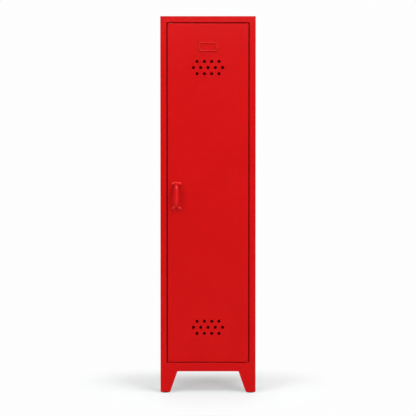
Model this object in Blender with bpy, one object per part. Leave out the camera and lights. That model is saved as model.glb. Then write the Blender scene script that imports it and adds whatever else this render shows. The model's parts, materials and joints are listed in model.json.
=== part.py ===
"""Narrow steel locker: folded sheet body on four splayed legs, with one door hung on pivot pins."""

import math

import bmesh
import bpy
from mathutils import Matrix, Vector

# Whole locker
WIDTH = 0.350
DEPTH = 0.460
HEIGHT = 1.384

# Sheet steel: its thickness, the outer radius of a fold, and the gap at a welded or seated face
SHEET = 0.001
FOLD_RADIUS = 0.0016
SEAM = 0.0003

# Front frame
STILE_WIDTH = 0.0226
TOP_RAIL = 0.0226
BOTTOM_RAIL = 0.032
OPENING_RADIUS = 0.004

# Legs, cut in the front, side and back sheets alike
LEG_HEIGHT = 0.079
LEG_TOP_WIDTH = 0.0625
LEG_FOOT_WIDTH = 0.0358
LEG_FOOT_RADIUS = 0.001
LEG_CROTCH_RADIUS = 0.003

# Foot plates and glides
FOOT_PLATE_THICKNESS = 0.002
FOOT_PLATE_MARGIN = 0.0015
GLIDE_HEIGHT = 0.0033
GLIDE_RADIUS = 0.0164
GLIDE_BOTTOM_RADIUS = 0.0158
GLIDE_STEM_RADIUS = 0.004
GLIDE_STEM_LENGTH = 0.010

# Jambs behind the opening, and the posts in the corners of the body
STOP_LIP = 0.012
POST_ARM = 0.018
REAR_POST_ARM = 0.022

# Top, floor and shelf trays
PIVOT_ROOM = 0.007
FLOOR_FLANGE = 0.018
FLOOR_SETBACK = 0.001
SHELF_FLANGE = 0.018
SHELF_DROP = 0.285
BRACKET_ARM = 0.020
BRACKET_LENGTH = 0.300

# Holes for fixing the back panel to a wall
WALL_HOLE_RADIUS = 0.004
WALL_HOLE_DROP = 0.060
WALL_HOLE_SPACING = 0.200

# Coat rail in its sockets
RAIL_RADIUS = 0.009
RAIL_WALL = 0.0012
SOCKET_RADIUS = 0.017
SOCKET_BASE = 0.003
SOCKET_COLLAR = 0.012
SOCKET_WALL = 0.003
SOCKET_DROP = 0.008

# Door tray
DOOR_SIDE_GAP = 0.0039
DOOR_TOP_GAP = 0.0039
DOOR_BOTTOM_GAP = 0.003
DOOR_THICKNESS = 0.018
DOOR_LIP = 0.024
STIFFENER_WIDTH = 0.070
STIFFENER_CREST = 0.034
STIFFENER_FOOT = 0.014
STIFFENER_HEIGHT = 0.013
STIFFENER_MARGIN = 0.025

# Vent holes: a group near each end of the door
VENT_ROWS = (4, 5, 4)
VENT_RADIUS = 0.0055
VENT_PITCH = 0.02675
VENT_ROW_PITCH = 0.0223
VENT_TOP_DROP = 0.1617
VENT_BOTTOM_RISE = 0.1275

# Door pivots
PIVOT_INSET = 0.0055
PIN_RADIUS = 0.0026
PIN_HEAD_RIM = 0.0014
PIN_HEAD_HEIGHT = 0.002
BUSH_WALL = 0.0007
BUSH_RIM = 0.0011
BUSH_RIM_HEIGHT = 0.0008
CUP_DEPTH = 0.007
CUP_FLOOR = 0.0012
PIVOT_PLATE_THICKNESS = 0.003
PIVOT_PLATE_LENGTH = 0.018

# Handle: a bow grip on two oval feet
HANDLE_INSET = 0.0329
HANDLE_RISE = 0.6095
HANDLE_SPACING = 0.090
HANDLE_REACH = 0.032
HANDLE_FOOT_WIDTH = 0.040
HANDLE_FOOT_HEIGHT = 0.019
HANDLE_FOOT_THICKNESS = 0.004
HANDLE_FOOT_EDGE = 0.0012
GRIP_BEND = 0.022
GRIP_NECK_WIDTH = 0.0105
GRIP_WIDTH = 0.0155
GRIP_THICKNESS = 0.010
HANDLE_RIVET_SPACING = 0.031

# Card frame
CARD_FRAME_WIDTH = 0.065
CARD_FRAME_HEIGHT = 0.0335
CARD_FRAME_RAISE = 0.0033
CARD_FRAME_SHEET = 0.0008
CARD_FRAME_BAR = 0.0048
CARD_FRAME_EAR_LENGTH = 0.0095
CARD_FRAME_EAR_HEIGHT = 0.008
CARD_FRAME_DROP = 0.0857

# Rivets of the handle and the card frame
RIVET_SHANK_RADIUS = 0.0016
RIVET_HEAD_RADIUS = 0.0033
RIVET_HEAD_HEIGHT = 0.0018
RIVET_TAIL_RADIUS = 0.0027
RIVET_TAIL_HEIGHT = 0.0014

# Magnetic catch, strike plate and buffers
BUFFER_GAP = 0.004
BUFFER_RADIUS = 0.004
BUFFER_TIP_RADIUS = 0.003
BUFFER_END_DISTANCE = 0.150
CATCH_HEIGHT = 0.056
CATCH_WIDTH = 0.0137
CATCH_DEPTH = 0.016
CATCH_FLANGE = 0.003
CATCH_FLANGE_WIDTH = 0.0095
MAGNET_WIDTH = 0.0085
MAGNET_HEIGHT = 0.028
MAGNET_DEPTH = 0.0105
MAGNET_PROUD = 0.0005
CATCH_SCREW_SPACING = 0.042
CATCH_SCREW_RADIUS = 0.0016
CATCH_SCREW_TIP = 0.0008
CATCH_SCREW_HEAD_RADIUS = 0.0032
CATCH_SCREW_HEAD_HEIGHT = 0.002
STRIKE_WIDTH = 0.0115
STRIKE_HEIGHT = 0.040
STRIKE_THICKNESS = 0.0012
STRIKE_GAP = 0.0004

# Fineness of round forms
FOLD_STEPS = 2
GRIP_STEPS = 6
HOLE_SIDES = 16
ROUND_SIDES = 24

# Planes of the body, worked out from the sizes above; the locker stands centred over the origin
FRONT = (HANDLE_REACH - DEPTH) / 2
BACK = FRONT + DEPTH
BEHIND_FACE = FRONT + SHEET + SEAM
BEFORE_BACK = BACK - SHEET - SEAM
INNER_SIDE = WIDTH / 2 - SHEET - SEAM
FOLD_INSIDE = FOLD_RADIUS - SHEET
FOLD_CLEAR = SHEET + SEAM + FOLD_INSIDE
OPENING_HALF = WIDTH / 2 - STILE_WIDTH
OPENING_BOTTOM = LEG_HEIGHT + BOTTOM_RAIL
OPENING_TOP = HEIGHT - TOP_RAIL
DOOR_HALF = OPENING_HALF - DOOR_SIDE_GAP
DOOR_BOTTOM = OPENING_BOTTOM + DOOR_BOTTOM_GAP
DOOR_TOP = OPENING_TOP - DOOR_TOP_GAP
DOOR_BACK = FRONT + DOOR_THICKNESS
STOP_FACE = DOOR_BACK + BUFFER_GAP
STOP_BACK = STOP_FACE + SHEET
FLOOR_TOP = OPENING_BOTTOM - SHEET - SEAM
TOP_FLANGE = TOP_RAIL - PIVOT_ROOM
SHELF_TOP = HEIGHT - SHELF_DROP
BRACKET_TOP = SHELF_TOP - SHELF_FLANGE - SEAM
RAIL_HEIGHT = BRACKET_TOP - BRACKET_ARM - SOCKET_DROP - SOCKET_RADIUS
BODY_MIDDLE = (STOP_BACK + BEFORE_BACK) / 2
BUSH_RADIUS = PIN_RADIUS + SEAM + BUSH_WALL
BUSH_RIM_RADIUS = BUSH_RADIUS + BUSH_RIM
PIVOT_X = DOOR_HALF - PIVOT_INSET
PIVOT_Y = BEHIND_FACE + BUSH_RIM_RADIUS
FLOOR_FRONT = PIVOT_Y + BUSH_RIM_RADIUS + FLOOR_SETBACK
HANDLE_X = HANDLE_INSET - DOOR_HALF
HANDLE_Z = DOOR_BOTTOM + HANDLE_RISE
CARD_FRAME_Z = DOOR_TOP - CARD_FRAME_DROP
VENT_HEIGHTS = (DOOR_BOTTOM + VENT_BOTTOM_RISE, DOOR_TOP - VENT_TOP_DROP)
STRIKE_BACK = DOOR_BACK + SEAM + STRIKE_THICKNESS
MAGNET_FACE = STRIKE_BACK + STRIKE_GAP
CATCH_FACE = MAGNET_FACE + MAGNET_PROUD
CATCH_LEFT = STOP_LIP + SEAM - OPENING_HALF
MAGNET_X = CATCH_LEFT + CATCH_WIDTH / 2

ORIGIN = Vector((0, 0, 0))
SIDES = (("left", -1), ("right", 1))
AXIS_TURN = {
    "X": Matrix.Rotation(math.radians(90), 4, "Y"),
    "Y": Matrix.Rotation(math.radians(-90), 4, "X"),
    "Z": Matrix.Identity(4),
}


def clear_scene():
    for item in list(bpy.data.objects):
        bpy.data.objects.remove(item, do_unlink=True)


def finish(name, colour, roughness, metallic=0.0):
    """A Principled material with a plain colour."""
    material = bpy.data.materials.new(name)
    material.use_nodes = True
    shader = material.node_tree.nodes["Principled BSDF"]
    shader.inputs["Base Color"].default_value = (*colour, 1.0)
    shader.inputs["Roughness"].default_value = roughness
    shader.inputs["Metallic"].default_value = metallic
    return material


def empty(name, location):
    item = bpy.data.objects.new(name, None)
    item.location = location
    bpy.context.scene.collection.objects.link(item)
    return item


def mesh_from(bm, name):
    """Turn a bmesh into a mesh with outward faces, smooth where it is round."""
    bmesh.ops.recalc_face_normals(bm, faces=bm.faces)
    mesh = bpy.data.meshes.new(name)
    bm.to_mesh(mesh)
    bm.free()
    mesh.shade_smooth()
    mesh.set_sharp_from_angle(angle=math.radians(35))
    return mesh


def add_mesh(name, mesh, material, parent, location):
    """Place a mesh, modelled round its own origin, at a point of the locker."""
    item = bpy.data.objects.new(name, mesh)
    if not mesh.materials:
        mesh.materials.append(material)
    item.parent = parent
    item.location = Vector(location) - parent.location
    bpy.context.scene.collection.objects.link(item)
    return item


def add(name, bm, material, parent, origin=ORIGIN):
    """Place a bmesh that is modelled in the locker's own coordinates, with its origin at a point."""
    bmesh.ops.translate(bm, vec=-Vector(origin), verts=bm.verts)
    return add_mesh(name, mesh_from(bm, name), material, parent, origin)


def combine(target, bm, operation="DIFFERENCE"):
    """Cut a bmesh out of an object, or join it on, with a hidden tool object."""
    name = f"{target.name}_tool_{len(target.modifiers)}"
    tool = bpy.data.objects.new(name, mesh_from(bm, name))
    tool.hide_render = True
    tool.display_type = "WIRE"
    bpy.context.scene.collection.objects.link(tool)
    boolean = target.modifiers.new(name, "BOOLEAN")
    boolean.operation = operation
    boolean.solver = "EXACT"
    boolean.object = tool


def across(axis, u, v, along):
    """Point at (u, v) across an axis: (y, z) for X, (z, x) for Y and (x, y) for Z."""
    return {"X": (along, u, v), "Y": (v, along, u), "Z": (u, v, along)}[axis]


def extruded(outline, axis, start, end):
    """Solid with a closed outline across an axis, from start to end along it."""
    bm = bmesh.new()
    face = bm.faces.new([bm.verts.new(across(axis, u, v, start)) for u, v in outline])
    grown = bmesh.ops.extrude_face_region(bm, geom=[face])["geom"]
    new_verts = [element for element in grown if isinstance(element, bmesh.types.BMVert)]
    bmesh.ops.translate(bm, vec=across(axis, 0, 0, end - start), verts=new_verts)
    return bm


def box(low, high):
    """Block between two corners."""
    bm = bmesh.new()
    low, high = Vector(low), Vector(high)
    bmesh.ops.create_cube(bm, size=1.0, matrix=Matrix.LocRotScale((low + high) / 2, None, high - low))
    return bm


def round_edges(bm, edges, radius):
    bmesh.ops.bevel(bm, geom=edges, offset=radius, offset_type="OFFSET", segments=FOLD_STEPS,
                    profile=0.5, affect="EDGES", material=-1)


def cylinder(bm, centre, radius, length, axis, sides=HOLE_SIDES):
    """Add a cylinder centred at a point of a bmesh."""
    place = Matrix.Translation(centre) @ AXIS_TURN[axis]
    bmesh.ops.create_cone(bm, cap_ends=True, segments=sides, radius1=radius, radius2=radius,
                          depth=length, matrix=place)


def holes(points, radius, length, axis, bm=None):
    """Cylinders at several points, to cut round holes, in a new bmesh or added to one."""
    bm = bm or bmesh.new()
    for point in points:
        cylinder(bm, point, radius, length, axis)
    return bm


def turned(profile, axis, sides=ROUND_SIDES):
    """Solid turned about an axis from (radius, height) points that start and end on the axis or meet."""
    bm = bmesh.new()
    verts = [bm.verts.new((radius, 0, height)) for radius, height in profile]
    edges = [bm.edges.new(pair) for pair in zip(verts, verts[1:])]
    if profile[0][0] > 0:
        edges.append(bm.edges.new((verts[-1], verts[0])))
    bmesh.ops.spin(bm, geom=verts + edges, cent=(0, 0, 0), axis=(0, 0, 1), angle=math.tau,
                   steps=sides, use_merge=True)
    bmesh.ops.remove_doubles(bm, verts=bm.verts, dist=0.000001)
    bmesh.ops.transform(bm, matrix=AXIS_TURN[axis], verts=bm.verts)
    return bm


def arc(centre, radius, start, turn, steps):
    """Points on an arc, from a start angle through a turn."""
    angles = [start + turn * step / steps for step in range(steps + 1)]
    return [Vector((centre[0] + radius * math.cos(a), centre[1] + radius * math.sin(a))) for a in angles]


def sheet_outline(path):
    """Outline of a sheet folded along a path, with its thickness to the left of the path."""
    points = [Vector(point) for point in path]
    heads = [(after - before).normalized() for before, after in zip(points, points[1:])]
    lefts = [Vector((-head.y, head.x)) for head in heads]
    near = [points[0]]
    far = [points[0] + lefts[0] * SHEET]
    for corner, head, left, next_head in zip(points[1:], heads, lefts, heads[1:]):
        turn = math.atan2(head.cross(next_head), head.dot(next_head))
        side = math.copysign(1, turn)
        near_radius = FOLD_RADIUS if turn > 0 else FOLD_INSIDE
        far_radius = FOLD_INSIDE if turn > 0 else FOLD_RADIUS
        centre = corner + near_radius * (side * left - math.tan(abs(turn) / 2) * head)
        start = math.atan2(-side * left.y, -side * left.x)
        near += arc(centre, near_radius, start, turn, FOLD_STEPS)
        far += arc(centre, far_radius, start, turn, FOLD_STEPS)
    near.append(points[-1])
    far.append(points[-1] + lefts[-1] * SHEET)
    return near + far[::-1]


def mirrored(path):
    """The same fold on the other side, with its thickness still to the left."""
    return [(-u, v) for u, v in reversed(path)]


def rounded(points, radii):
    """Closed outline with a radius at each corner, or 0 for a sharp one."""
    outline = []
    for index, (point, radius) in enumerate(zip(points, radii)):
        corner = Vector(point)
        head = (corner - Vector(points[index - 1])).normalized()
        next_head = (Vector(points[(index + 1) % len(points)]) - corner).normalized()
        if radius == 0:
            outline.append(corner)
            continue
        turn = math.atan2(head.cross(next_head), head.dot(next_head))
        left = Vector((-head.y, head.x)) * math.copysign(1, turn)
        centre = corner + radius * (left - math.tan(abs(turn) / 2) * head)
        outline += arc(centre, radius, math.atan2(-left.y, -left.x), turn, FOLD_STEPS)
    return outline


def legged_outline(half_width, inset=0.0):
    """Outline of a body sheet that ends in two legs; an inset sheet lies inside its neighbours' edges."""
    foot = half_width + inset - LEG_FOOT_WIDTH
    crotch = half_width + inset - LEG_TOP_WIDTH
    points = [(half_width, GLIDE_HEIGHT), (half_width, HEIGHT), (-half_width, HEIGHT),
              (-half_width, GLIDE_HEIGHT), (-foot, GLIDE_HEIGHT), (-crotch, LEG_HEIGHT),
              (crotch, LEG_HEIGHT), (foot, GLIDE_HEIGHT)]
    foot_corner, crotch_corner = LEG_FOOT_RADIUS, LEG_CROTCH_RADIUS
    return rounded(points, [foot_corner, 0, 0, foot_corner, foot_corner, crotch_corner, crotch_corner,
                            foot_corner])


def tray(low, high):
    """Sheet tray that opens downward: a solid block, and the hollow to cut out of it."""
    outer = box(low, high)
    top = high[2]
    round_edges(outer, [e for e in outer.edges if max(v.co.z for v in e.verts) > top - SEAM], FOLD_RADIUS)
    hollow = box((low[0] + SHEET, low[1] + SHEET, low[2] - SHEET),
                 (high[0] - SHEET, high[1] - SHEET, top - SHEET))
    inner_top = top - SHEET
    round_edges(hollow, [e for e in hollow.edges if max(v.co.z for v in e.verts) > inner_top - SEAM],
                FOLD_INSIDE)
    return outer, hollow


def add_tray(name, low, high, material, parent):
    outer, hollow = tray(low, high)
    origin = ((low[0] + high[0]) / 2, (low[1] + high[1]) / 2, high[2])
    item = add(name, outer, material, parent, origin)
    combine(item, hollow)
    return item


def build_front_frame(body, red):
    face = extruded([(z, x) for x, z in legged_outline(WIDTH / 2)], "Y", FRONT, FRONT + SHEET)
    frame = add("front_frame", face, red, body, (0, FRONT, LEG_HEIGHT))
    corners = [(OPENING_BOTTOM, -OPENING_HALF), (OPENING_TOP, -OPENING_HALF),
               (OPENING_TOP, OPENING_HALF), (OPENING_BOTTOM, OPENING_HALF)]
    opening = rounded(corners, [OPENING_RADIUS] * len(corners))
    combine(frame, extruded(opening, "Y", FRONT - SHEET, FRONT + 2 * SHEET))


def mitre(bm, corner, outward):
    """Cut the lip of a jamb at 45 degrees, to meet the next jamb at a corner of the opening."""
    geometry = bm.verts[:] + bm.edges[:] + bm.faces[:]
    point = Vector(corner) - Vector(outward).normalized() * SEAM / 2
    cut = bmesh.ops.bisect_plane(bm, geom=geometry, dist=0.0000001, plane_co=point, plane_no=outward,
                                 clear_outer=True)["geom_cut"]
    bmesh.ops.edgeloop_fill(bm, edges=[e for e in cut if isinstance(e, bmesh.types.BMEdge)])


def catch_screw_points(depth):
    """Where the two screws of the magnetic catch pass a depth of the body."""
    x = CATCH_LEFT - CATCH_FLANGE_WIDTH / 2
    return [(x, depth, HANDLE_Z + up * CATCH_SCREW_SPACING / 2) for up in (-1, 1)]


def build_jambs(body, red):
    """Four returns behind the edges of the opening, each with a lip that stops the door."""
    jambs = {}
    side_path = [(-OPENING_HALF, BEHIND_FACE), (-OPENING_HALF, STOP_FACE),
                 (STOP_LIP - OPENING_HALF, STOP_FACE)]
    for side, sign in SIDES:
        path = side_path if sign < 0 else mirrored(side_path)
        bm = extruded(sheet_outline(path), "Z", OPENING_BOTTOM, OPENING_TOP)
        mitre(bm, (sign * OPENING_HALF, 0, OPENING_TOP), (-sign, 0, 1))
        mitre(bm, (sign * OPENING_HALF, 0, OPENING_BOTTOM), (-sign, 0, -1))
        name = f"{side}_jamb"
        jambs[side] = add(name, bm, red, body, (sign * OPENING_HALF, BEHIND_FACE, OPENING_BOTTOM))
    head_path = [(BEHIND_FACE, OPENING_TOP), (STOP_FACE, OPENING_TOP),
                 (STOP_FACE, OPENING_TOP - STOP_LIP)]
    sill_path = [(STOP_FACE, OPENING_BOTTOM + STOP_LIP), (STOP_FACE, OPENING_BOTTOM),
                 (BEHIND_FACE, OPENING_BOTTOM)]
    for name, path, height, up in (("head_jamb", head_path, OPENING_TOP, 1),
                                   ("sill_jamb", sill_path, OPENING_BOTTOM, -1)):
        bm = extruded(sheet_outline(path), "X", -OPENING_HALF, OPENING_HALF)
        for sign in (-1, 1):
            mitre(bm, (sign * OPENING_HALF, 0, height), (sign, 0, -up))
        jamb = add(name, bm, red, body, (0, BEHIND_FACE, height))
        combine(jamb, holes([(PIVOT_X, PIVOT_Y, height)], BUSH_RADIUS + SEAM, 6 * SHEET, "Z"))
    screws = catch_screw_points(STOP_FACE)
    combine(jambs["left"], holes(screws, CATCH_SCREW_RADIUS + SEAM, 6 * SHEET, "Y"))


def build_panels(body, red):
    """Side and back sheets with their legs, and the top and floor trays between them."""
    half_depth = (BEFORE_BACK - BEHIND_FACE) / 2
    middle = (BEFORE_BACK + BEHIND_FACE) / 2
    side_outline = [(y + middle, z) for y, z in legged_outline(half_depth, SHEET + SEAM)]
    for side, sign in SIDES:
        edges = sorted((sign * WIDTH / 2, sign * (WIDTH / 2 - SHEET)))
        bm = extruded(side_outline, "X", *edges)
        add(f"{side}_side_panel", bm, red, body, (sign * WIDTH / 2, middle, LEG_HEIGHT))
    back_sheet = extruded([(z, x) for x, z in legged_outline(WIDTH / 2)], "Y", BACK - SHEET, BACK)
    back = add("back_panel", back_sheet, red, body, (0, BACK, LEG_HEIGHT))
    wall_points = [(sign * WALL_HOLE_SPACING / 2, BACK, HEIGHT - WALL_HOLE_DROP) for sign in (-1, 1)]
    combine(back, holes(wall_points, WALL_HOLE_RADIUS, 6 * SHEET, "Y"))
    add_tray("top_panel", (-INNER_SIDE, BEHIND_FACE, HEIGHT - TOP_FLANGE),
             (INNER_SIDE, BEFORE_BACK, HEIGHT), red, body)
    add_tray("floor_panel", (-INNER_SIDE, FLOOR_FRONT, FLOOR_TOP - FLOOR_FLANGE),
             (INNER_SIDE, BEFORE_BACK, FLOOR_TOP), red, body)


def build_posts(body, red):
    """Angle posts that join the sheets at the four corners, from the floor tray to the top tray."""
    face_end = OPENING_HALF + SHEET + SEAM
    front_path = [(-INNER_SIDE, BEHIND_FACE + POST_ARM), (-INNER_SIDE, BEHIND_FACE),
                  (-face_end, BEHIND_FACE)]
    rear_path = [(REAR_POST_ARM - INNER_SIDE, BEFORE_BACK), (-INNER_SIDE, BEFORE_BACK),
                 (-INNER_SIDE, BEFORE_BACK - REAR_POST_ARM)]
    low = FLOOR_TOP + SEAM
    high = HEIGHT - TOP_FLANGE - SEAM
    for end, left_path, depth in (("front", front_path, BEHIND_FACE), ("rear", rear_path, BEFORE_BACK)):
        for side, sign in SIDES:
            path = left_path if sign < 0 else mirrored(left_path)
            bm = extruded(sheet_outline(path), "Z", low, high)
            add(f"{end}_{side}_post", bm, red, body, (sign * INNER_SIDE, depth, low))


def build_feet(body, red, plastic):
    """A plate across the bottom of each leg, with a black glide under it."""
    side = LEG_FOOT_WIDTH - SHEET - SEAM - FOOT_PLATE_MARGIN
    stem_top = GLIDE_HEIGHT + GLIDE_STEM_LENGTH
    profile = [(0, 0), (GLIDE_BOTTOM_RADIUS, 0), (GLIDE_RADIUS, GLIDE_HEIGHT / 2),
               (GLIDE_RADIUS, GLIDE_HEIGHT), (GLIDE_STEM_RADIUS, GLIDE_HEIGHT),
               (GLIDE_STEM_RADIUS, stem_top), (0, stem_top)]
    glide_mesh = mesh_from(turned(profile, "Z"), "glide")
    bottom = GLIDE_HEIGHT + SEAM
    for end, edge, inward in (("front", BEHIND_FACE, 1), ("rear", BEFORE_BACK, -1)):
        near, far = sorted((edge, edge + inward * side))
        for hand, sign in SIDES:
            left, right = sorted((sign * INNER_SIDE, sign * (INNER_SIDE - side)))
            x, y = (left + right) / 2, (near + far) / 2
            plate = box((left, near, bottom), (right, far, bottom + FOOT_PLATE_THICKNESS))
            item = add(f"{end}_{hand}_foot_plate", plate, red, body, (x, y, bottom))
            combine(item, holes([(x, y, bottom)], GLIDE_STEM_RADIUS + SEAM, 4 * FOOT_PLATE_THICKNESS, "Z"))
            add_mesh(f"{end}_{hand}_glide", glide_mesh, plastic, body, (x, y, 0))


def build_shelf(body, red):
    """Hat shelf tray, and the two angle brackets that carry its side flanges."""
    half = INNER_SIDE - SHEET - SEAM
    add_tray("hat_shelf", (-half, STOP_BACK + SEAM, SHELF_TOP - SHELF_FLANGE),
             (half, BEFORE_BACK - SHEET - SEAM, SHELF_TOP), red, body)
    left_path = [(BRACKET_ARM - INNER_SIDE, BRACKET_TOP), (-INNER_SIDE, BRACKET_TOP),
                 (-INNER_SIDE, BRACKET_TOP - BRACKET_ARM)]
    for side, sign in SIDES:
        path = left_path if sign < 0 else mirrored(left_path)
        outline = [(z, x) for x, z in sheet_outline(path)]
        bm = extruded(outline, "Y", BODY_MIDDLE - BRACKET_LENGTH / 2, BODY_MIDDLE + BRACKET_LENGTH / 2)
        add(f"{side}_shelf_bracket", bm, red, body, (sign * INNER_SIDE, BODY_MIDDLE, BRACKET_TOP))


def build_coat_rail(body, steel, plastic):
    """Tube under the shelf, held at each end in a socket on the side sheet."""
    bore = RAIL_RADIUS + SEAM
    collar = bore + SOCKET_WALL
    collar_top = SOCKET_BASE + SOCKET_COLLAR
    profile = [(0, 0), (SOCKET_RADIUS, 0), (SOCKET_RADIUS, SOCKET_BASE), (collar, SOCKET_BASE),
               (collar, collar_top), (bore, collar_top), (bore, SOCKET_BASE), (0, SOCKET_BASE)]
    for side, sign in SIDES:
        bm = turned(profile, "X")
        bmesh.ops.rotate(bm, verts=bm.verts, matrix=Matrix.Rotation(math.pi if sign > 0 else 0, 3, "Z"))
        bmesh.ops.translate(bm, verts=bm.verts, vec=(sign * INNER_SIDE, BODY_MIDDLE, RAIL_HEIGHT))
        add(f"{side}_rail_socket", bm, plastic, body, (sign * INNER_SIDE, BODY_MIDDLE, RAIL_HEIGHT))
    half = INNER_SIDE - SOCKET_BASE - SEAM
    inside = RAIL_RADIUS - RAIL_WALL
    tube = turned([(RAIL_RADIUS, -half), (RAIL_RADIUS, half), (inside, half), (inside, -half)], "X")
    bmesh.ops.translate(tube, verts=tube.verts, vec=(0, BODY_MIDDLE, RAIL_HEIGHT))
    add("coat_rail", tube, steel, body, (0, BODY_MIDDLE, RAIL_HEIGHT))


def build_bushes(body, nylon):
    """Flanged bush in the head jamb, and the blind cup in the sill jamb that carries the door."""
    bore = PIN_RADIUS + SEAM
    seat = SHEET + SEAM
    bush = turned([(bore, 0), (BUSH_RADIUS, 0), (BUSH_RADIUS, seat), (BUSH_RIM_RADIUS, seat),
                   (BUSH_RIM_RADIUS, seat + BUSH_RIM_HEIGHT), (bore, seat + BUSH_RIM_HEIGHT)], "Z")
    add_mesh("upper_pivot_bush", mesh_from(bush, "upper_pivot_bush"), nylon, body,
             (PIVOT_X, PIVOT_Y, OPENING_TOP))
    rim_top = SEAM + BUSH_RIM_HEIGHT
    cup = turned([(0, -CUP_DEPTH), (BUSH_RADIUS, -CUP_DEPTH), (BUSH_RADIUS, SEAM), (BUSH_RIM_RADIUS, SEAM),
                  (BUSH_RIM_RADIUS, rim_top), (bore, rim_top), (bore, CUP_FLOOR - CUP_DEPTH),
                  (0, CUP_FLOOR - CUP_DEPTH)], "Z")
    add_mesh("lower_pivot_cup", mesh_from(cup, "lower_pivot_cup"), nylon, body,
             (PIVOT_X, PIVOT_Y, OPENING_BOTTOM))


def build_catch(body, plastic, steel, rubber):
    """Magnetic catch behind the left stop lip, level with the handle, and two buffers on the lip."""
    low = HANDLE_Z - CATCH_HEIGHT / 2
    high = HANDLE_Z + CATCH_HEIGHT / 2
    flange_front = STOP_BACK + SEAM
    outline = [(CATCH_LEFT - CATCH_FLANGE_WIDTH, flange_front), (CATCH_LEFT, flange_front),
               (CATCH_LEFT, CATCH_FACE), (CATCH_LEFT + CATCH_WIDTH, CATCH_FACE),
               (CATCH_LEFT + CATCH_WIDTH, CATCH_FACE + CATCH_DEPTH), (CATCH_LEFT, CATCH_FACE + CATCH_DEPTH),
               (CATCH_LEFT, flange_front + CATCH_FLANGE),
               (CATCH_LEFT - CATCH_FLANGE_WIDTH, flange_front + CATCH_FLANGE)]
    housing = add("catch_housing", extruded(outline, "Z", low, high), plastic, body,
                  (MAGNET_X, CATCH_FACE, HANDLE_Z))
    reach = Vector((MAGNET_WIDTH / 2, 0, MAGNET_HEIGHT / 2))
    front = Vector((MAGNET_X, MAGNET_FACE, HANDLE_Z))
    rear = front + Vector((0, MAGNET_DEPTH, 0))
    room = Vector((SEAM, SEAM, SEAM))
    combine(housing, box(front - reach - room, rear + reach + room))
    add("catch_magnet", box(front - reach, rear + reach), steel, body, front)
    shank_back = flange_front + CATCH_FLANGE + SEAM
    shank = shank_back - STOP_FACE + CATCH_SCREW_TIP
    head = CATCH_SCREW_HEAD_HEIGHT
    profile = [(0, -shank), (CATCH_SCREW_RADIUS, -shank), (CATCH_SCREW_RADIUS, 0),
               (CATCH_SCREW_HEAD_RADIUS, 0), (CATCH_SCREW_HEAD_RADIUS, head / 2),
               (CATCH_SCREW_HEAD_RADIUS / 2, head), (0, head)]
    screw_mesh = mesh_from(turned(profile, "Y", HOLE_SIDES), "catch_screw")
    screws = catch_screw_points(shank_back)
    combine(housing, holes(screws, CATCH_SCREW_RADIUS + SEAM, 4 * CATCH_FLANGE, "Y"))
    for name, point in zip(("lower", "upper"), screws):
        add_mesh(f"{name}_catch_screw", screw_mesh, steel, body, point)
    length = BUFFER_GAP - 2 * SEAM
    dome = [(0, -length), (BUFFER_TIP_RADIUS, -length), (BUFFER_RADIUS, -length / 2),
            (BUFFER_RADIUS, 0), (0, 0)]
    buffer_mesh = mesh_from(turned(dome, "Y", HOLE_SIDES), "door_buffer")
    buffer_x = (CATCH_LEFT - SEAM - DOOR_HALF) / 2
    for name, height in (("lower", OPENING_BOTTOM + BUFFER_END_DISTANCE),
                         ("upper", OPENING_TOP - BUFFER_END_DISTANCE)):
        add_mesh(f"{name}_door_buffer", buffer_mesh, rubber, body, (buffer_x, STOP_FACE - SEAM, height))


def vent_points():
    for centre in VENT_HEIGHTS:
        for row, count in enumerate(VENT_ROWS):
            height = centre + (row - (len(VENT_ROWS) - 1) / 2) * VENT_ROW_PITCH
            for index in range(count):
                yield ((index - (count - 1) / 2) * VENT_PITCH, FRONT, height)


def handle_rivet_points():
    for up in (-1, 1):
        for sign in (-1, 1):
            yield (HANDLE_X + sign * HANDLE_RIVET_SPACING / 2, FRONT, HANDLE_Z + up * HANDLE_SPACING / 2)


def card_frame_rivet_points():
    reach = CARD_FRAME_WIDTH / 2 + CARD_FRAME_EAR_LENGTH / 2
    return [(sign * reach, FRONT, CARD_FRAME_Z) for sign in (-1, 1)]


def build_door_panel(door, red):
    """Folded tray with a lip round its back, pierced for vents, rivets and pivot pins."""
    outer = box((-DOOR_HALF, FRONT, DOOR_BOTTOM), (DOOR_HALF, DOOR_BACK, DOOR_TOP))
    round_edges(outer, outer.edges[:], FOLD_RADIUS)
    panel = add("door_panel", outer, red, door, (PIVOT_X, PIVOT_Y, DOOR_BOTTOM))
    hollow = box((SHEET - DOOR_HALF, FRONT + SHEET, DOOR_BOTTOM + SHEET),
                 (DOOR_HALF - SHEET, DOOR_BACK - SHEET, DOOR_TOP - SHEET))
    round_edges(hollow, hollow.edges[:], FOLD_INSIDE)
    combine(panel, hollow)
    combine(panel, box((DOOR_LIP - DOOR_HALF, DOOR_BACK - 2 * SHEET, DOOR_BOTTOM + DOOR_LIP),
                       (DOOR_HALF - DOOR_LIP, DOOR_BACK + SHEET, DOOR_TOP - DOOR_LIP)))
    piercing = holes(vent_points(), VENT_RADIUS, 4 * SHEET, "Y")
    rivets = [*handle_rivet_points(), *card_frame_rivet_points()]
    holes(rivets, RIVET_SHANK_RADIUS + SEAM, 4 * SHEET, "Y", piercing)
    pins = [(PIVOT_X, PIVOT_Y, DOOR_BOTTOM), (PIVOT_X, PIVOT_Y, DOOR_TOP)]
    holes(pins, PIN_RADIUS + SEAM, 4 * SHEET, "Z", piercing)
    combine(panel, piercing)


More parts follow.
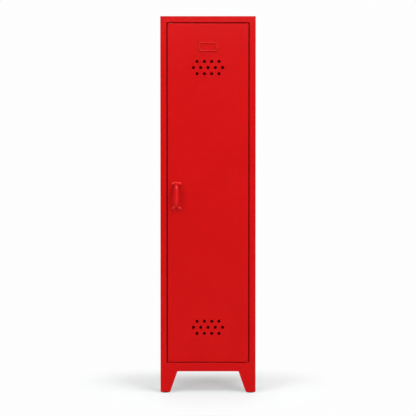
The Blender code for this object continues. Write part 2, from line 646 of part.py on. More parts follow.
def build_stiffener(door, red):
    """Hat channel welded up the back of the door skin between the two groups of vents."""
    foot = BEHIND_FACE
    crest = BEHIND_FACE + STIFFENER_HEIGHT - SHEET
    shoulder = STIFFENER_WIDTH / 2 - STIFFENER_FOOT
    path = [(-STIFFENER_WIDTH / 2, foot), (-shoulder, foot), (-STIFFENER_CREST / 2, crest),
            (STIFFENER_CREST / 2, crest), (shoulder, foot), (STIFFENER_WIDTH / 2, foot)]
    vent_reach = (len(VENT_ROWS) - 1) / 2 * VENT_ROW_PITCH + VENT_RADIUS + STIFFENER_MARGIN
    low = VENT_HEIGHTS[0] + vent_reach
    high = VENT_HEIGHTS[1] - vent_reach
    add("door_stiffener", extruded(sheet_outline(path), "Z", low, high), red, door, (0, foot, low))


def build_pivots(door, steel, red):
    """Plate inside each end of the door, and the painted pin that passes through it into the frame."""
    plate_right = DOOR_HALF - FOLD_CLEAR
    plate_left = plate_right - PIVOT_PLATE_LENGTH
    inset = SHEET + SEAM
    upper_reach = DOOR_TOP_GAP + inset + BUSH_RIM_HEIGHT
    lower_reach = DOOR_BOTTOM_GAP + CUP_DEPTH - CUP_FLOOR - SEAM
    for name, edge, outward, reach in (("upper", DOOR_TOP, 1, upper_reach),
                                       ("lower", DOOR_BOTTOM, -1, lower_reach)):
        faces = sorted((edge - outward * inset, edge - outward * (inset + PIVOT_PLATE_THICKNESS)))
        plate = box((plate_left, FRONT + FOLD_CLEAR, faces[0]),
                    (plate_right, DOOR_BACK - FOLD_CLEAR, faces[1]))
        item = add(f"{name}_pivot_plate", plate, steel, door, (PIVOT_X, PIVOT_Y, edge))
        combine(item, holes([(PIVOT_X, PIVOT_Y, edge)], PIN_RADIUS + SEAM, 8 * PIVOT_PLATE_THICKNESS, "Z"))
        head = inset + PIVOT_PLATE_THICKNESS + SEAM
        head_radius = PIN_RADIUS + PIN_HEAD_RIM
        head_end = head + PIN_HEAD_HEIGHT
        profile = [(0, -head_end), (head_radius, -head_end), (head_radius, -head),
                   (PIN_RADIUS, -head), (PIN_RADIUS, reach), (0, reach)]
        pin = turned([(radius, outward * height) for radius, height in profile], "Z")
        pin_mesh = mesh_from(pin, f"{name}_pivot_pin")
        add_mesh(f"{name}_pivot_pin", pin_mesh, red, door, (PIVOT_X, PIVOT_Y, edge))


def grip_stations():
    """Places along the bow: (depth, height, direction of the path, share of the way to full width)."""
    half = HANDLE_SPACING / 2
    root = -HANDLE_FOOT_THICKNESS / 2
    crown = GRIP_THICKNESS / 2 - HANDLE_REACH
    angles = [math.pi / 2 * step / GRIP_STEPS for step in range(GRIP_STEPS + 1)]
    yield root, -half, -math.pi / 2, 0.0
    for angle in angles:
        depth = crown + GRIP_BEND * (1 - math.sin(angle))
        yield depth, -half + GRIP_BEND * (1 - math.cos(angle)), angle - math.pi / 2, math.sin(angle) ** 2
    for angle in angles:
        depth = crown + GRIP_BEND * (1 - math.cos(angle))
        yield depth, half - GRIP_BEND * (1 - math.sin(angle)), angle, math.cos(angle) ** 2
    yield root, half, math.pi / 2, 0.0


def handle_grip():
    """Bow of oval section, lofted through rings that follow its path."""
    bm = bmesh.new()
    rings = []
    for depth, height, angle, fullness in grip_stations():
        width = GRIP_NECK_WIDTH + (GRIP_WIDTH - GRIP_NECK_WIDTH) * fullness
        place = (Matrix.Translation((HANDLE_X, FRONT + depth, HANDLE_Z + height))
                 @ Matrix.Rotation(-angle, 4, "X") @ Matrix.Diagonal((width / 2, GRIP_THICKNESS / 2, 1, 1)))
        ring = bmesh.ops.create_circle(bm, cap_ends=False, segments=HOLE_SIDES, radius=1.0, matrix=place)
        rings.append(list({edge for vert in ring["verts"] for edge in vert.link_edges}))
    for ring, next_ring in zip(rings, rings[1:]):
        bmesh.ops.bridge_loops(bm, edges=ring + next_ring)
    bmesh.ops.edgeloop_fill(bm, edges=rings[0])
    bmesh.ops.edgeloop_fill(bm, edges=rings[-1])
    return bm


def handle_foot(height):
    """Oval pad with a softened rim."""
    bm = bmesh.new()
    thickness = HANDLE_FOOT_THICKNESS - SEAM
    place = (Matrix.Translation((HANDLE_X, FRONT - SEAM - thickness / 2, height))
             @ Matrix.Diagonal((HANDLE_FOOT_WIDTH / 2, 1, HANDLE_FOOT_HEIGHT / 2, 1)) @ AXIS_TURN["Y"])
    bmesh.ops.create_cone(bm, cap_ends=True, segments=ROUND_SIDES, radius1=1, radius2=1, depth=thickness,
                          matrix=place)
    front = FRONT - HANDLE_FOOT_THICKNESS
    rim = [edge for edge in bm.edges if all(abs(vert.co.y - front) < SEAM / 2 for vert in edge.verts)]
    round_edges(bm, rim, HANDLE_FOOT_EDGE)
    return bm


def build_handle(door, red):
    handle = add("handle", handle_grip(), red, door, (HANDLE_X, FRONT, HANDLE_Z))
    for up in (-1, 1):
        combine(handle, handle_foot(HANDLE_Z + up * HANDLE_SPACING / 2), "UNION")
    combine(handle, holes(handle_rivet_points(), RIVET_SHANK_RADIUS + SEAM, 4 * HANDLE_FOOT_THICKNESS, "Y"))


def rivet_mesh(name, grip):
    """Domed rivet along Y, its head in front of what it grips and its tail behind."""
    head = [(RIVET_HEAD_RADIUS * math.cos(angle), -RIVET_HEAD_HEIGHT * math.sin(angle))
            for angle in (math.radians(degrees) for degrees in (90, 60, 30, 0))]
    head[0] = (0, -RIVET_HEAD_HEIGHT)
    tail = grip + RIVET_TAIL_HEIGHT
    profile = head + [(RIVET_SHANK_RADIUS, 0), (RIVET_SHANK_RADIUS, grip), (RIVET_TAIL_RADIUS, grip),
                      (RIVET_TAIL_RADIUS, tail), (0, tail)]
    return mesh_from(turned(profile, "Y", HOLE_SIDES), name)


def build_rivets(door, red):
    """Two rivets through each foot of the handle, and one through each ear of the card frame."""
    handle_head = FRONT - HANDLE_FOOT_THICKNESS - SEAM
    handle_mesh = rivet_mesh("handle_rivet", BEHIND_FACE - handle_head)
    places = ("lower_left", "lower_right", "upper_left", "upper_right")
    for place, (x, _, z) in zip(places, handle_rivet_points()):
        add_mesh(f"{place}_handle_rivet", handle_mesh, red, door, (x, handle_head, z))
    card_head = FRONT - SEAM - CARD_FRAME_SHEET - SEAM
    card_mesh = rivet_mesh("card_frame_rivet", BEHIND_FACE - card_head)
    for (side, _), (x, _, z) in zip(SIDES, card_frame_rivet_points()):
        add_mesh(f"{side}_card_frame_rivet", card_mesh, red, door, (x, card_head, z))


def build_card_frame(door, red):
    """Raised frame, open at its top edge, that holds a name card behind its window."""
    half = CARD_FRAME_WIDTH / 2
    low = CARD_FRAME_Z - CARD_FRAME_HEIGHT / 2
    high = CARD_FRAME_Z + CARD_FRAME_HEIGHT / 2
    face = FRONT - CARD_FRAME_RAISE
    foot = FRONT - SEAM
    wall = CARD_FRAME_SHEET
    outer = box((-half, face, low), (half, foot, high))
    round_edges(outer, [e for e in outer.edges if min(v.co.y for v in e.verts) < face + SEAM / 2], wall)
    item = add("card_frame", outer, red, door, (0, FRONT, CARD_FRAME_Z))
    reach = half + CARD_FRAME_EAR_LENGTH
    ear = CARD_FRAME_EAR_HEIGHT / 2
    ears = box((-reach, foot - wall, CARD_FRAME_Z - ear), (reach, foot, CARD_FRAME_Z + ear))
    combine(item, ears, "UNION")
    combine(item, box((wall - half, face + wall, low + wall), (half - wall, FRONT, high + wall)))
    bar = CARD_FRAME_BAR
    combine(item, box((bar - half, face - wall, low + bar), (half - bar, FRONT, high - bar)))
    combine(item, holes(card_frame_rivet_points(), RIVET_SHANK_RADIUS + SEAM, 4 * wall, "Y"))


def build_strike_plate(door, steel):
    """Steel plate on the lip of the door, for the magnet."""
    front = DOOR_BACK + SEAM
    plate = box((MAGNET_X - STRIKE_WIDTH / 2, front, HANDLE_Z - STRIKE_HEIGHT / 2),
                (MAGNET_X + STRIKE_WIDTH / 2, STRIKE_BACK, HANDLE_Z + STRIKE_HEIGHT / 2))
    add("strike_plate", plate, steel, door, (MAGNET_X, front, HANDLE_Z))


def main():
    clear_scene()
    red = finish("red_paint", (0.63, 0.009, 0.0095), 0.38)
    steel = finish("zinc_plated_steel", (0.62, 0.62, 0.60), 0.35, 1.0)
    black = finish("black_plastic", (0.012, 0.012, 0.013), 0.5)
    nylon = finish("red_nylon", (0.50, 0.008, 0.009), 0.45)
    rubber = finish("black_rubber", (0.02, 0.02, 0.02), 0.8)
    body = empty("body", ORIGIN)
    build_front_frame(body, red)
    build_jambs(body, red)
    build_panels(body, red)
    build_posts(body, red)
    build_feet(body, red, black)
    build_shelf(body, red)
    build_coat_rail(body, steel, black)
    build_bushes(body, nylon)
    build_catch(body, black, steel, rubber)
    door = empty("door", (PIVOT_X, PIVOT_Y, 0))
    build_door_panel(door, red)
    build_stiffener(door, red)
    build_pivots(door, steel, red)
    build_handle(door, red)
    build_card_frame(door, red)
    build_rivets(door, red)
    build_strike_plate(door, steel)


main()
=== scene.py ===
"""Looks of the narrow red locker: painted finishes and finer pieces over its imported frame."""

import json
import math

import bmesh
import bpy
from mathutils import Matrix, Vector


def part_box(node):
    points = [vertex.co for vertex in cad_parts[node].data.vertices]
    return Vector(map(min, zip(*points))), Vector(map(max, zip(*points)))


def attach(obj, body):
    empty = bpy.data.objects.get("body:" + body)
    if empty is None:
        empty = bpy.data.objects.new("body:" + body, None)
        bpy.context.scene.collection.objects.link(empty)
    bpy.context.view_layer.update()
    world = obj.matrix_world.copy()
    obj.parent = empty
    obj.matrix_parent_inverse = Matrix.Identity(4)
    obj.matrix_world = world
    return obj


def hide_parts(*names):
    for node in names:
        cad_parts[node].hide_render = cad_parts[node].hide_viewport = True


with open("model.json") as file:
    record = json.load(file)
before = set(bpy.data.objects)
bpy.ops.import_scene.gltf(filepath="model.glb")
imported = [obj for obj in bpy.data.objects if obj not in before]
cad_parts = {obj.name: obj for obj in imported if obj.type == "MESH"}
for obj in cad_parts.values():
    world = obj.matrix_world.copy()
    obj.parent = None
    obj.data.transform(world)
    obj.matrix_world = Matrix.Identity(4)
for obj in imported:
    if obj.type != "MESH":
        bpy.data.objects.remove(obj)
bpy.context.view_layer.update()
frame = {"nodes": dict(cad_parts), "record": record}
scene = bpy.context.scene
body_of = {node: body for body, nodes in frame["record"]["behaviour"]["bodies"].items() for node in nodes}
rivet_nodes = [node for node in frame["nodes"] if node.endswith("rivet")]

# Camera, in front of the door and a little above the middle of the locker
PICTURE_PIXELS = 416
PIXEL_WIDTH = 0.003674
CAMERA_DISTANCE = 3.4
CAMERA_PITCH = math.radians(0.879)
AIM_HEIGHT = 0.681
SENSOR_WIDTH = 36.0

# Soft lamps, given by strength and by rise, turn from the front and softness in degrees
LAMPS = {
    "front_right_lamp": (0.93, 14, 35, 16),
    "front_left_lamp": (0.66, 14, -35, 16),
    "side_right_lamp": (0.70, 50, 70, 30),
    "side_left_lamp": (0.30, 50, -70, 30),
    "back_lamp": (0.85, 30, 180, 24),
}
# A wide one that only shows in gloss
GLOSS_LAMPS = {"gloss_lamp": (0.40, 14, 35, 45)}

# Square soft boxes above, all tilted alike, given by power, place and turn in degrees
BOX_SIZE = 1.0
BOX_TILT = math.radians(47)
BOXES = {
    "upper_left_box": (14.2, (-1.4, -1.8, 2.6), -41),
    "upper_right_box": (14.2, (1.4, -1.8, 2.6), 41),
}
# One in front that only shows in gloss
GLOSS_BOXES = {"gloss_box": (21.0, (0.0, -2.2, 2.6), 0)}

# An even room, and how gloss sees it grow dim behind the camera
ROOM_LIGHT = 0.25
BACKGROUND_WHITE = 0.985
DIM_SIDE = 0.02
ROOM_DIM_REACH = (0.1, 1.0)
FLOOR_DIM_REACH = (-0.35, 0.0)

# Floor: its own white, the colour that takes light and shadow, and where both fade into the background
FLOOR_HALF = 12.0
FLOOR_GLOW = 0.45
# Both a little cool, which offsets the red light that the locker throws on the floor
FLOOR_GLOW_COLOUR = (0.88, 1.0, 1.0)
FLOOR_COLOUR = (0.60, 0.61, 0.61)
FLOOR_IN_GLOSS = 0.60
FLOOR_FADE_ROUND = (0.26, 0.56)
FLOOR_FADE_BEHIND = (-0.03, 0.30)

# Sheet steel, and how far its cut and folded edges are rounded under the paint
SHEET = 0.001
SEAM = 0.0003
FOLD_RADIUS = 0.0016
FACE_EDGE = 0.0008
PANEL_EDGE = 0.0005
HIDDEN_EDGE = 0.00015
HARDWARE_EDGE = 0.0003
CUT_LENGTH = 4 * SHEET

# Fineness of the meshes: steps of round shapes, what counts as smooth, sharp, flat or facing, and merging
FOLD_STEPS = 5
EDGE_STEPS = 3
FINE_STEPS = 2
ROUND_STEPS = 48
HOLE_SIDES = 32
SMOOTH_ANGLE = math.radians(40)
SHARP_ANGLE = math.radians(50)
FLAT_ANGLE = math.radians(1)
FACING_COSINE = 0.9
POINT_MERGE = 0.000001
MESH_MERGE = 0.000005

# Legs, cut in the four body sheets, and the door opening in the front one
LEG_HEIGHT = 0.079
LEG_TOP_WIDTH = 0.0625
LEG_FOOT_WIDTH = 0.0358
LEG_FOOT_RADIUS = 0.001
LEG_CROTCH_RADIUS = 0.003
STILE_WIDTH = 0.0226
TOP_RAIL = 0.0226
BOTTOM_RAIL = 0.032
OPENING_RADIUS = 0.004
WALL_HOLE_RADIUS = 0.004
WALL_HOLE_DROP = 0.060
WALL_HOLE_SPACING = 0.200

# Door: its lip, and the vent holes near each end
DOOR_LIP = 0.024
VENT_ROWS = (4, 5, 4)
VENT_RADIUS = 0.0055
VENT_EDGE = 0.00012
VENT_PITCH = 0.02675
VENT_ROW_PITCH = 0.0223
VENT_TOP_DROP = 0.1617
VENT_BOTTOM_RISE = 0.1275
PIN_RADIUS = 0.0026

# Handle: a cast bow on two domed feet, with a low boss under each rivet
HANDLE_SPACING = 0.090
HANDLE_REACH = 0.032
HANDLE_FOOT_WIDTH = 0.040
HANDLE_FOOT_HEIGHT = 0.019
FOOT_DOME = ((1.0, 0.0), (1.0, 0.0009), (0.97, 0.0016), (0.90, 0.0023), (0.75, 0.0031), (0.565, 0.0041),
             (0.44, 0.0053), (0.36, 0.0071), (0.30, 0.0100), (0.0, 0.0100))
BOSS_RADIUS = 0.0042
BOSS_HEIGHT = 0.0040
GRIP_ROOT = -0.002
GRIP_BEND = 0.022
GRIP_NECK_WIDTH = 0.0105
GRIP_WIDTH = 0.0155
GRIP_THICKNESS = 0.010
GRIP_STEPS = 12
GRIP_SIDES = 32
CAST_GRAIN = 0.0006
CAST_SMOOTHING = 5
CAST_EASE = 0.5

# Card holder, and the rivets that hold it and the handle
CARD_FRAME_WIDTH = 0.065
CARD_FRAME_SHEET = 0.0008
CARD_FRAME_BAR = 0.0048
CARD_SIDE_BEAD = 0.0024
CARD_WINDOW_BEAD = 0.0016
CARD_RIM = 0.0005
CARD_SLOT = 0.0012
CARD_TUCK = 0.0020
CARD_EAR_HEIGHT = 0.008
CARD_EAR_RADIUS = 0.0028
RIVET_SHANK_RADIUS = 0.0016
RIVET_HEAD_RADIUS = 0.0033
CARD_RIVET_HEAD_RADIUS = 0.0023
RIVET_HEAD_HEIGHT = 0.0018
CARD_RIVET_HEAD_HEIGHT = 0.0011
RIVET_TAIL_RADIUS = 0.0027
RIVET_TAIL_HEIGHT = 0.0014
RIVET_RIM = 0.0003
RIVET_STEPS = 8

# Turned and moulded hardware: glides, coat rail and sockets, buffers, screws, magnet, strike plate
GLIDE_HEIGHT = 0.0033
GLIDE_RADIUS = 0.0164
GLIDE_SOLE_RADIUS = 0.0158
GLIDE_STEM_RADIUS = 0.004
RAIL_RADIUS = 0.009
RAIL_WALL = 0.0012
SOCKET_RADIUS = 0.017
SOCKET_BASE = 0.003
SOCKET_COLLAR = 0.012
SOCKET_WALL = 0.003
SOCKET_EASE = 0.0015
BUFFER_RADIUS = 0.004
BUFFER_SHAPE = ((0.0, 0.0), (0.45, 0.04), (0.75, 0.2), (1.0, 0.55), (1.0, 1.0), (0.0, 1.0))
SCREW_RADIUS = 0.0016
SCREW_POINT = 0.0006
SCREW_HEAD_RADIUS = 0.0032
SCREW_HEAD_HEIGHT = 0.002
SCREW_HEAD_DOME = ((1.0, 0.35), (0.93, 0.65), (0.75, 0.86), (0.4, 0.98), (0.0, 1.0))
RECESS_ARM = 0.0019
RECESS_WIDTH = 0.0006
RECESS_DEPTH = 0.0011
POLE_WIDTH = 0.0021
POLE_STEP = 0.0004
STRIKE_CORNER = 0.0025
WELD_RADIUS = 0.003
WELD_DEPTH = 0.0002
WELD_PITCH = 0.15
STIFFENER_FOOT = 0.014

# Paint: depth of the slow waves, gloss, least and most roughness, and a painted lightness on each kind of
# piece
SHEET_PAINT = (0.00015, 0.34, 0.19, 0.24, 1.0)
# Castings and card holder have the same red painted lighter, a painted light for the light they catch
CAST_PAINT_WITH_PAINTED_LIGHT = (0.00005, 0.46, 0.28, 0.33, 1.14)
HOLDER_PAINT_WITH_PAINTED_LIGHT = (0.00005, 0.29, 0.28, 0.33, 1.07)
# The dark and the light of its clouds, and its specks
RED_PAINT = ((0.611, 0.0032, 0.0037), (0.650, 0.0039, 0.0045), (0.55, 0.0028, 0.0033))
# Its textures, given as all textures are by cells to the metre, detail and any stretch along the axes
RED_CLOUDS = (7.0, 3.0)
RED_SPECKS = (900.0, 1.0)
RED_SPECK_SHARE = 0.12
RED_POLISH = (60.0, 4.0)
SLOW_WAVES = (5.0, 1.0)
ORANGE_PEEL = (520.0, 1.5)
ORANGE_PEEL_DEPTH = 0.000012
NOISE_MIDDLE = (0.3, 0.7)

# Other finishes: how metallic, clouds between two colours, texture and range of roughness, grain and depth
DRAWN_LINES = (1.0, 3.0, (6, 1400, 1400))
TOOL_RINGS = (900.0, 1.0, (0.15, 0.15, 4.0))
PLAIN_FINISHES = {
    "zinc_plate": dict(metallic=1.0, clouds=(90.0, 4.0), colours=((0.56, 0.57, 0.60), (0.66, 0.64, 0.57)),
                       polish=(300.0, 4.0), roughness=(0.26, 0.42), grain=(1800.0, 3.0), depth=0.00001),
    "drawn_tube": dict(metallic=1.0, clouds=(40.0, 3.0), colours=((0.60, 0.61, 0.63), (0.69, 0.68, 0.65)),
                       polish=DRAWN_LINES, roughness=(0.16, 0.34), grain=DRAWN_LINES, depth=0.000006),
    "black_plastic": dict(metallic=0.0, clouds=(120.0, 3.0),
                          colours=((0.010, 0.010, 0.011), (0.018, 0.018, 0.019)),
                          polish=(500.0, 3.0), roughness=(0.42, 0.58), grain=(2600.0, 2.0), depth=0.00002),
    "red_nylon": dict(metallic=0.0, clouds=(200.0, 3.0),
                      colours=((0.46, 0.006, 0.007), (0.53, 0.010, 0.010)),
                      polish=(700.0, 3.0), roughness=(0.40, 0.52), grain=TOOL_RINGS, depth=0.00002),
    "black_rubber": dict(metallic=0.0, clouds=(260.0, 5.0),
                         colours=((0.016, 0.016, 0.016), (0.034, 0.033, 0.032)),
                         polish=(700.0, 3.0), roughness=(0.72, 0.9), grain=(3000.0, 2.0), depth=0.00003),
}

# Magnet: steel poles and a ferrite core
POLE_STEEL = ((0.50, 0.50, 0.52), (0.62, 0.61, 0.58))
POLE_ROUGHNESS = 0.32
FERRITE = ((0.022, 0.022, 0.024), (0.045, 0.044, 0.043))
FERRITE_ROUGHNESS = 0.7
MAGNET_CLOUDS = (1500.0, 3.0)
MAGNET_GRAIN = (2200.0, 3.0)
MAGNET_GRAIN_DEPTH = 0.00002

AXIS_TURN = {
    "X": Matrix.Rotation(math.radians(90), 4, "Y"),
    "Y": Matrix.Rotation(math.radians(-90), 4, "X"),
    "Z": Matrix.Identity(4),
}


def front_plane():
    """How far forward the front frame's face is."""
    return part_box("front_frame")[0].y


def place_camera():
    """Camera on the locker's middle line, looking down a little at the photograph's scale."""
    camera = bpy.data.objects.new("camera", bpy.data.cameras.new("camera"))
    camera.data.sensor_width = SENSOR_WIDTH
    camera.data.lens = SENSOR_WIDTH * CAMERA_DISTANCE / (PICTURE_PIXELS * PIXEL_WIDTH)
    height = AIM_HEIGHT + CAMERA_DISTANCE * math.tan(CAMERA_PITCH)
    camera.location = (0, front_plane() - CAMERA_DISTANCE, height)
    camera.rotation_euler = (math.pi / 2 - CAMERA_PITCH, 0, 0)
    scene.collection.objects.link(camera)
    scene.camera = camera


def add_lamp(name, kind, energy, glossy):
    """A lamp that lights surfaces, or one that only shows in their gloss."""
    lamp = bpy.data.objects.new(name, bpy.data.lights.new(name, kind))
    lamp.data.energy = energy
    lamp.visible_camera = False
    lamp.visible_glossy = glossy
    lamp.visible_diffuse = not glossy
    scene.collection.objects.link(lamp)
    return lamp


def light_stage():
    """The lamps that light surfaces, and then those that only show in gloss."""
    for lamps, boxes, glossy in ((LAMPS, BOXES, False), (GLOSS_LAMPS, GLOSS_BOXES, True)):
        for name, (strength, rise, turn, softness) in lamps.items():
            lamp = add_lamp(name, "SUN", strength, glossy)
            lamp.data.angle = math.radians(softness)
            lamp.rotation_euler = (math.radians(90 - rise), 0, math.radians(turn))
        for name, (power, place, turn) in boxes.items():
            box = add_lamp(name, "AREA", power, glossy)
            box.data.size = BOX_SIZE
            box.location = place
            box.rotation_euler = (BOX_TILT, 0, math.radians(turn))


def link(tree, output, socket):
    """Join two sockets of a node tree."""
    tree.links.new(output, socket)


def mapped(tree, value, start, end, low, high, kind="LINEAR"):
    """A number taken from one range to another."""
    step = tree.nodes.new("ShaderNodeMapRange")
    step.interpolation_type = kind
    for socket, number in (("From Min", start), ("From Max", end), ("To Min", low), ("To Max", high)):
        step.inputs[socket].default_value = number
    link(tree, value, step.inputs["Value"])
    return step.outputs["Result"]


def smooth_range(tree, value, start, end, low, high):
    """A smooth step from one number to another."""
    return mapped(tree, value, start, end, low, high, "SMOOTHSTEP")


def spread(tree, value, low, high):
    """The middle of a noise stretched over a range."""
    return mapped(tree, value, *NOISE_MIDDLE, low, high)


def calculate(tree, operation, first, second):
    """One number of two."""
    node = tree.nodes.new("ShaderNodeMath")
    node.operation = operation
    link(tree, first, node.inputs[0])
    link(tree, second, node.inputs[1])
    return node.outputs[0]


def choose(tree, factor, first, second):
    """One shader or another, by a factor."""
    mix = tree.nodes.new("ShaderNodeMixShader")
    link(tree, factor, mix.inputs["Fac"])
    link(tree, first.outputs[0], mix.inputs[1])
    link(tree, second.outputs[0], mix.inputs[2])
    return mix


def for_each_ray(tree, lit, mirrored, seen):
    """What lights the pieces, what shows in gloss and glass, and what the camera sees."""
    path = tree.nodes.new("ShaderNodeLightPath")
    glossy, through = path.outputs["Is Glossy Ray"], path.outputs["Is Transmission Ray"]
    reflected = calculate(tree, "MAXIMUM", glossy, through)
    shown = choose(tree, reflected, lit, mirrored)
    return choose(tree, path.outputs["Is Camera Ray"], shown, seen)


def glow(tree, kind, strength, colour=(1, 1, 1)):
    """An even light of a given strength, or one that another node sets."""
    shader = tree.nodes.new(kind)
    shader.inputs["Color"].default_value = (*colour, 1)
    if isinstance(strength, float):
        shader.inputs["Strength"].default_value = strength
    else:
        link(tree, strength, shader.inputs["Strength"])
    return shader


def axis_value(tree, coordinate, axis):
    """The X, Y or Z of a texture coordinate."""
    split = tree.nodes.new("ShaderNodeSeparateXYZ")
    link(tree, tree.nodes.new("ShaderNodeTexCoord").outputs[coordinate], split.inputs[0])
    return split.outputs[axis]


def make_room():
    """Even room light and a white background, which gloss sees grow dim on the camera's own side."""
    world = bpy.data.worlds.new("room")
    world.use_nodes = True
    tree = world.node_tree
    tree.nodes.remove(tree.nodes["Background"])
    depth = axis_value(tree, "Generated", "Y")
    ahead = smooth_range(tree, depth, *ROOM_DIM_REACH, DIM_SIDE, BACKGROUND_WHITE)
    surface = for_each_ray(tree, glow(tree, "ShaderNodeBackground", ROOM_LIGHT),
                           glow(tree, "ShaderNodeBackground", ahead),
                           glow(tree, "ShaderNodeBackground", BACKGROUND_WHITE))
    link(tree, surface.outputs[0], tree.nodes["World Output"].inputs["Surface"])
    scene.world = world


def make_floor():
    """Pale floor that keeps the shadow near the locker and fades into the background further out."""
    bm = bmesh.new()
    bmesh.ops.create_grid(bm, x_segments=1, y_segments=1, size=FLOOR_HALF)
    mesh = bpy.data.meshes.new("floor")
    bm.to_mesh(mesh)
    bm.free()
    floor = bpy.data.objects.new("floor", mesh)
    scene.collection.objects.link(floor)
    material = bpy.data.materials.new("floor_white")
    material.use_nodes = True
    tree = material.node_tree
    tree.nodes.remove(tree.nodes["Principled BSDF"])
    # Lit colour and glow are a little cool, to offset the red light that the locker throws on the floor
    lit = tree.nodes.new("ShaderNodeBsdfDiffuse")
    lit.inputs["Color"].default_value = (*FLOOR_COLOUR, 1)
    near = tree.nodes.new("ShaderNodeAddShader")
    link(tree, lit.outputs[0], near.inputs[0])
    own = glow(tree, "ShaderNodeEmission", FLOOR_GLOW, FLOOR_GLOW_COLOUR)
    link(tree, own.outputs[0], near.inputs[1])
    coordinates = tree.nodes.new("ShaderNodeTexCoord")
    reach = tree.nodes.new("ShaderNodeVectorMath")
    reach.operation = "LENGTH"
    link(tree, coordinates.outputs["Object"], reach.inputs[0])
    depth = axis_value(tree, "Object", "Y")
    round_about = smooth_range(tree, reach.outputs["Value"], *FLOOR_FADE_ROUND, 1.0, 0.0)
    behind = smooth_range(tree, depth, *FLOOR_FADE_BEHIND, 1.0, 0.0)
    shaded = calculate(tree, "MULTIPLY", round_about, behind)
    seen = choose(tree, shaded, glow(tree, "ShaderNodeEmission", BACKGROUND_WHITE), near)
    ahead = smooth_range(tree, depth, *FLOOR_DIM_REACH, DIM_SIDE, FLOOR_IN_GLOSS)
    surface = for_each_ray(tree, lit, glow(tree, "ShaderNodeEmission", ahead), seen)
    link(tree, surface.outputs[0], tree.nodes["Material Output"].inputs["Surface"])
    mesh.materials.append(material)


def new_finish(name, **constants):
    """A Principled material with the numbers that are the same all over it."""
    material = bpy.data.materials.new(name)
    material.use_nodes = True
    shader = material.node_tree.nodes["Principled BSDF"]
    for socket, value in constants.items():
        shader.inputs[socket.replace("_", " ")].default_value = value
    return material, material.node_tree, shader


def noise(tree, scale, detail, stretch=(1, 1, 1)):
    """Noise on the piece's own coordinates, with so many cells to the metre along each axis."""
    coordinates = tree.nodes.new("ShaderNodeTexCoord")
    mapping = tree.nodes.new("ShaderNodeMapping")
    mapping.inputs["Scale"].default_value = stretch
    link(tree, coordinates.outputs["Object"], mapping.inputs["Vector"])
    texture = tree.nodes.new("ShaderNodeTexNoise")
    texture.inputs["Scale"].default_value = scale
    texture.inputs["Detail"].default_value = detail
    link(tree, mapping.outputs["Vector"], texture.inputs["Vector"])
    return texture.outputs["Fac"]


def tint(tree, factor, first, second):
    """A colour between two, or over the colour of another node."""
    mix = tree.nodes.new("ShaderNodeMix")
    mix.data_type = "RGBA"
    link(tree, factor, mix.inputs["Factor"])
    for socket, colour in (("A", first), ("B", second)):
        target = next(s for s in mix.inputs if s.name == socket and s.type == "RGBA")
        if isinstance(colour, tuple):
            target.default_value = (*colour, 1)
        else:
            link(tree, colour, target)
    return next(s for s in mix.outputs if s.type == "RGBA")


def relief(tree, height, depth, under=None):
    """A bump so many metres deep, over another if there is one."""
    bump = tree.nodes.new("ShaderNodeBump")
    bump.inputs["Strength"].default_value = 1.0
    bump.inputs["Distance"].default_value = depth
    link(tree, height, bump.inputs["Height"])
    if under is not None:
        link(tree, under, bump.inputs["Normal"])
    return bump.outputs["Normal"]


def red_powder_coat(name, waviness, gloss, smooth, rough, painted_lightness):
    """Semi-gloss red powder coat: orange peel, faint cloudiness and the slow waves of thin sheet."""
    material, tree, shader = new_finish(name, Specular_IOR_Level=gloss)
    # A painted_lightness above 1 paints light into the base colour, for pieces that catch more light
    dark, light, speck = (tuple(painted_lightness * part for part in colour) for colour in RED_PAINT)
    base = tint(tree, spread(tree, noise(tree, *RED_CLOUDS), 0.0, 1.0), dark, light)
    fleck = spread(tree, noise(tree, *RED_SPECKS), 0.0, RED_SPECK_SHARE)
    link(tree, tint(tree, fleck, base, speck), shader.inputs["Base Color"])
    link(tree, spread(tree, noise(tree, *RED_POLISH), smooth, rough), shader.inputs["Roughness"])
    waves = relief(tree, noise(tree, *SLOW_WAVES), waviness)
    peel = relief(tree, noise(tree, *ORANGE_PEEL), ORANGE_PEEL_DEPTH, waves)
    link(tree, peel, shader.inputs["Normal"])
    return material


def plain_finish(name, metallic, clouds, colours, polish, roughness, grain, depth):
    """A finish of two mixed colours, with uneven roughness and a fine grain."""
    material, tree, shader = new_finish(name, Metallic=metallic)
    cloud = spread(tree, noise(tree, *clouds), 0.0, 1.0)
    link(tree, tint(tree, cloud, *colours), shader.inputs["Base Color"])
    link(tree, spread(tree, noise(tree, *polish), *roughness), shader.inputs["Roughness"])
    link(tree, relief(tree, noise(tree, *grain), depth), shader.inputs["Normal"])
    return material


def magnet_and_poles(centre, half_core):
    """Grey ferrite between two steel pole plates, by the distance across from the magnet's middle."""
    material, tree, shader = new_finish("magnet_and_poles")
    across = tree.nodes.new("ShaderNodeMath")
    across.operation = "COMPARE"
    across.inputs[1].default_value = centre
    across.inputs[2].default_value = half_core
    link(tree, axis_value(tree, "Object", "X"), across.inputs[0])
    core = across.outputs[0]
    cloud = spread(tree, noise(tree, *MAGNET_CLOUDS), 0.0, 1.0)
    steel, ferrite = tint(tree, cloud, *POLE_STEEL), tint(tree, cloud, *FERRITE)
    link(tree, tint(tree, core, steel, ferrite), shader.inputs["Base Color"])
    link(tree, mapped(tree, core, 0.0, 1.0, 1.0, 0.0), shader.inputs["Metallic"])
    link(tree, mapped(tree, core, 0.0, 1.0, POLE_ROUGHNESS, FERRITE_ROUGHNESS), shader.inputs["Roughness"])
    link(tree, relief(tree, noise(tree, *MAGNET_GRAIN), MAGNET_GRAIN_DEPTH), shader.inputs["Normal"])
    return material


def slot_of(node):
    """The record's slot of a node, which its packed material names."""
    name = frame["nodes"][node].material_slots[0].material.name
    return next(slot for slot in finishes if name.startswith(slot))


